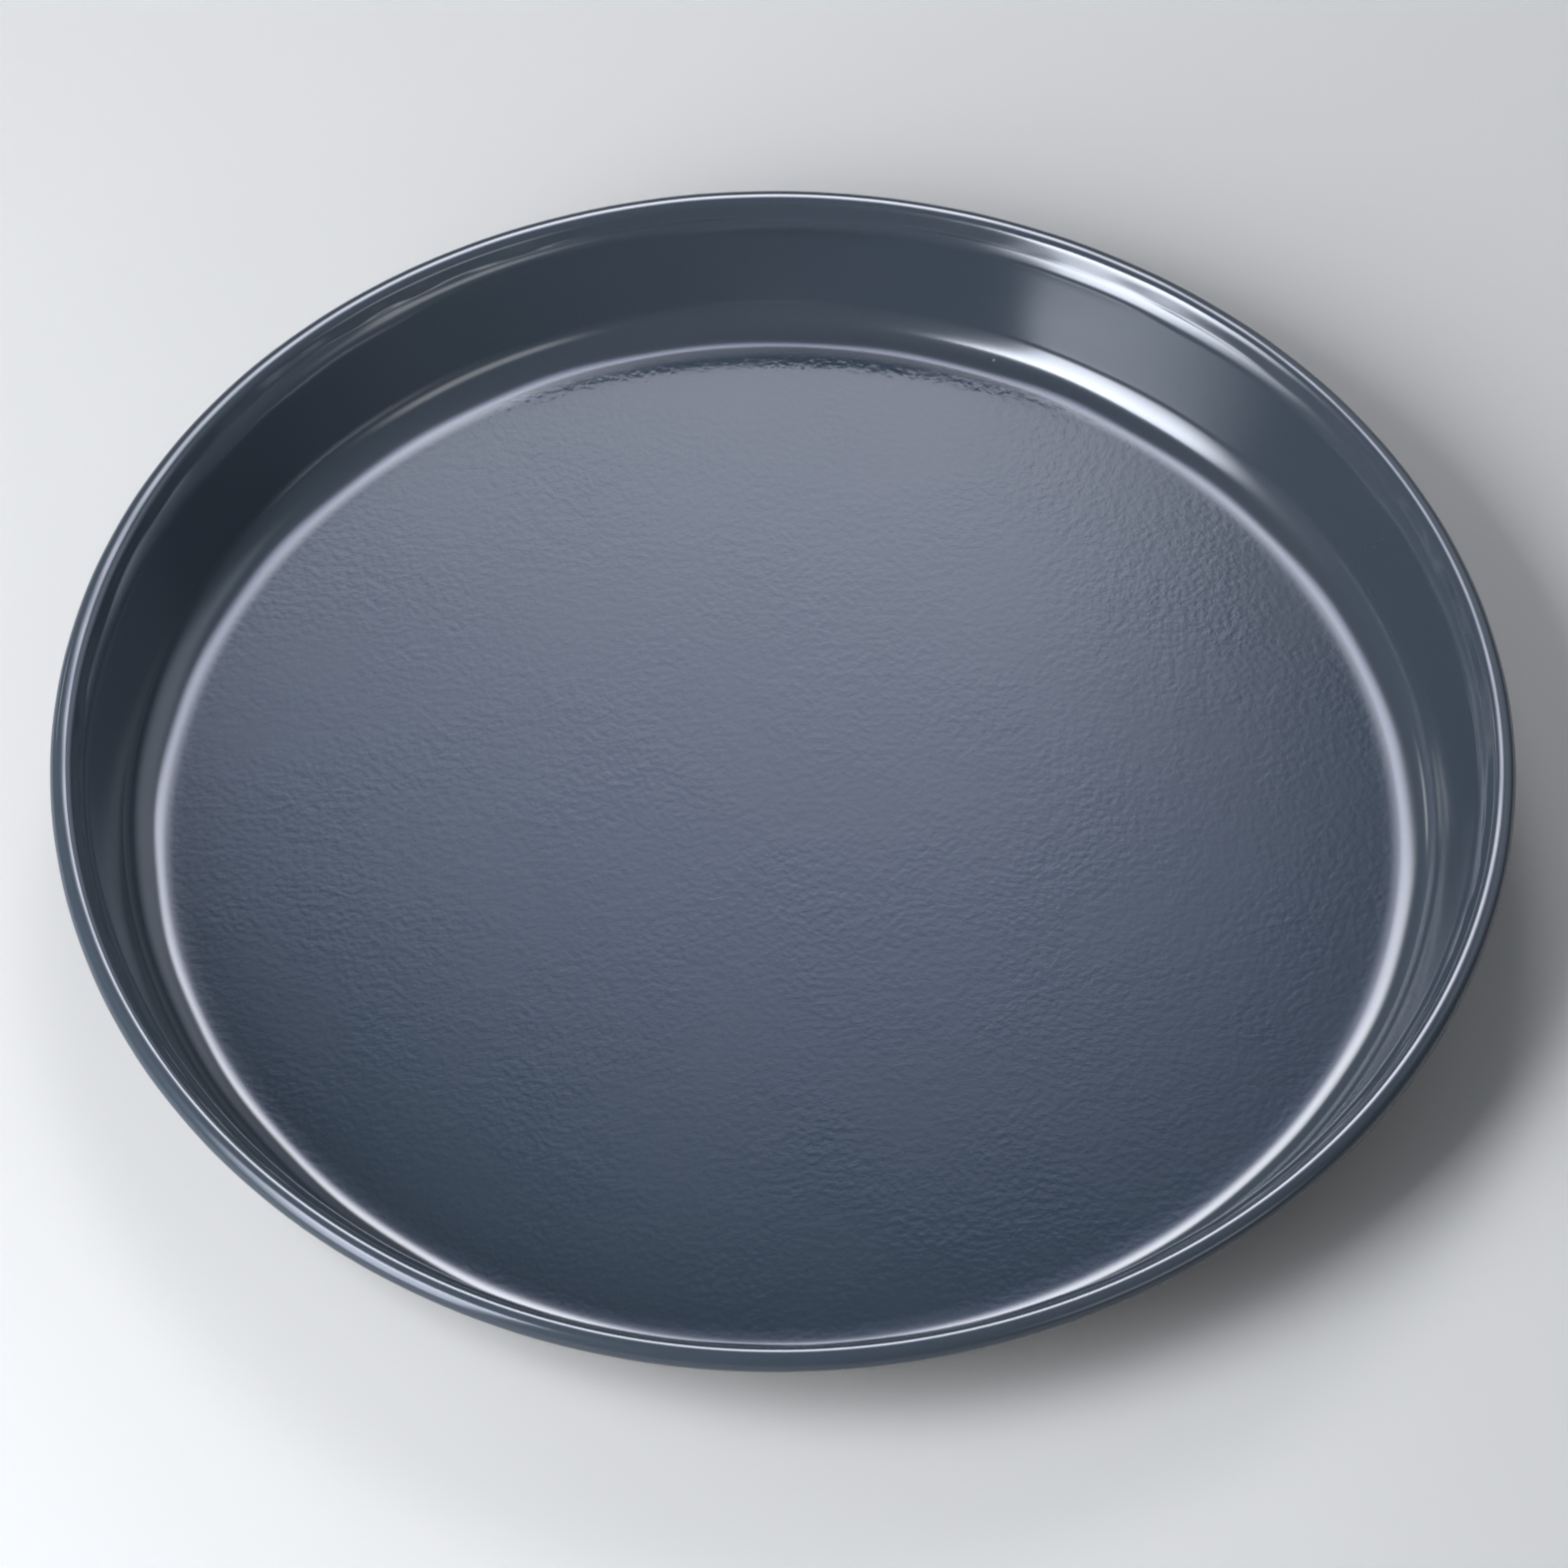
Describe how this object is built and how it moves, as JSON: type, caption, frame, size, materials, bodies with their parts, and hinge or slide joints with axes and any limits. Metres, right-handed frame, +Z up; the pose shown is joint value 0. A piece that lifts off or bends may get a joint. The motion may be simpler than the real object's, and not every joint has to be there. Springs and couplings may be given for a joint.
{
  "type": "pizza pan",
  "caption": "Round, deep pizza pan of dark glossy enamelled steel with a flat base, a steep wall, a small shoulder and a rolled rim.",
  "frame": {"origin": "centre of the flat underside, on the surface that the pan stands on", "axes": "+Z up out of the well, along the pan's axis of symmetry; +X and +Y lie in the base, with no feature that tells them apart"},
  "size_m": [0.35, 0.35, 0.0341],
  "materials": {
    "pressed_steel": "bare cold-rolled sheet, sealed inside the enamel",
    "ground_enamel": "blue-black fused enamel, satin gloss with a fine grain",
    "cover_enamel": "dark blue-grey gloss enamel with a fine orange-peel surface on the floor"
  },
  "bodies": {
    "root": {"steel_body": "pressed_steel", "ground_coat": "ground_enamel", "cover_coat": "cover_enamel"}
  },
  "joints": []
}
